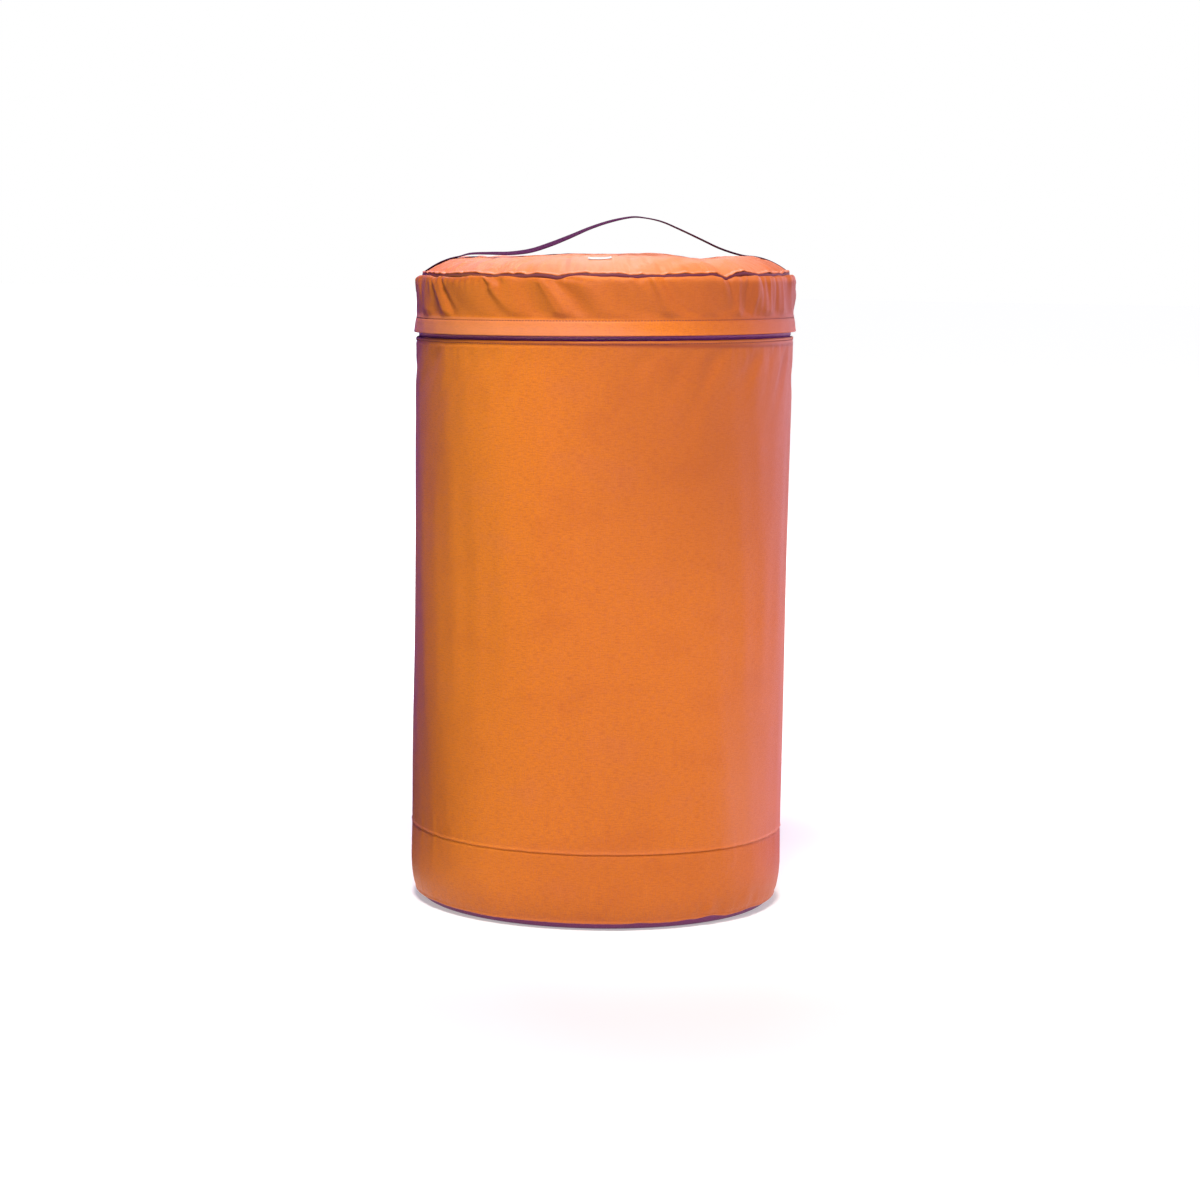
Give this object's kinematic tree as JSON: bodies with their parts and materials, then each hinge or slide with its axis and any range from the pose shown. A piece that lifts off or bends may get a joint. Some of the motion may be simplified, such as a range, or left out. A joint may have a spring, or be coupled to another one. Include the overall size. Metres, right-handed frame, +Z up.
{
  "type": "tackling bag",
  "caption": "Standing round tackling bag: orange coated-cloth cover over a foam core, hinged lid closed by a zip under a flared storm flap, and an arched webbing carry strap.",
  "frame": {"origin": "middle of the round base, on the ground the bag stands on", "axes": "+Z up along the bag, -Y to the pictured front, +X to the right as seen from the front"},
  "size_m": [0.527, 0.527, 0.9477],
  "materials": {
    "orange_coated_cloth": "woven cloth with a satin vinyl coating",
    "plum_coated_cloth": "woven cloth with a matt vinyl coating",
    "plum_webbing": "woven polyester webbing",
    "plum_zip_tape": "fine woven tape",
    "plum_zip_coil": "nylon coil",
    "dark_zip_metal": "dark enamel on die-cast metal",
    "firm_foam": "firm closed-cell foam",
    "soft_foam": "soft open-cell foam",
    "white_label_cloth": "plain white woven tab"
  },
  "bodies": {
    "cover": {"sleeve": "orange_coated_cloth", "sleeve_back_seam": "orange_coated_cloth", "base_band": "orange_coated_cloth", "base_panel": "plum_coated_cloth", "hinge_strip": "orange_coated_cloth", "core_column": "firm_foam", "core_jacket": "soft_foam", "core_base_pad": "soft_foam", "core_top_pad": "soft_foam", "zip_tape_lower": "plum_zip_tape", "zip_row_lower": "plum_zip_coil", "zip_top_stop_lower": "dark_zip_metal", "zip_bottom_stop": "dark_zip_metal"},
    "lid": {"lid_top_panel": "orange_coated_cloth", "lid_wall": "orange_coated_cloth", "lid_label": "white_label_cloth", "strap_end_left": "plum_webbing", "strap_end_right": "plum_webbing", "zip_tape_upper": "plum_zip_tape", "zip_row_upper": "plum_zip_coil", "zip_top_stop_upper": "dark_zip_metal"},
    "handle": {"handle_strap": "plum_webbing"},
    "slider": {"zip_slider": "dark_zip_metal"},
    "pull": {"zip_pull": "dark_zip_metal"}
  },
  "joints": [
    {"name": "lid_hinge", "type": "hinge", "parent": "cover", "child": "lid", "pos_m": [0, 0.2638, 0.7902], "axis": [-1, 0, 0], "range_deg": [0, 175], "deforming": ["hinge_strip"]},
    {"name": "handle_swing", "type": "hinge", "parent": "lid", "child": "handle", "pos_m": [0, 0, 0.91103], "axis": [1, 0, 0], "range_deg": [-40, 40], "stiffness_Nm_per_rad": 0.01},
    {"name": "zip_travel", "type": "hinge", "parent": "cover", "child": "slider", "pos_m": [0, 0, 0.7883], "axis": [0, 0, 1], "range_deg": [0, 320], "deforming": ["zip_row_upper", "zip_row_lower"]},
    {"name": "pull_swing", "type": "hinge", "parent": "slider", "child": "pull", "pos_m": [-0.08857, 0.24445, 0.7883], "axis": [0.9402, 0.3406, 0], "range_deg": [0, 85]}
  ]
}
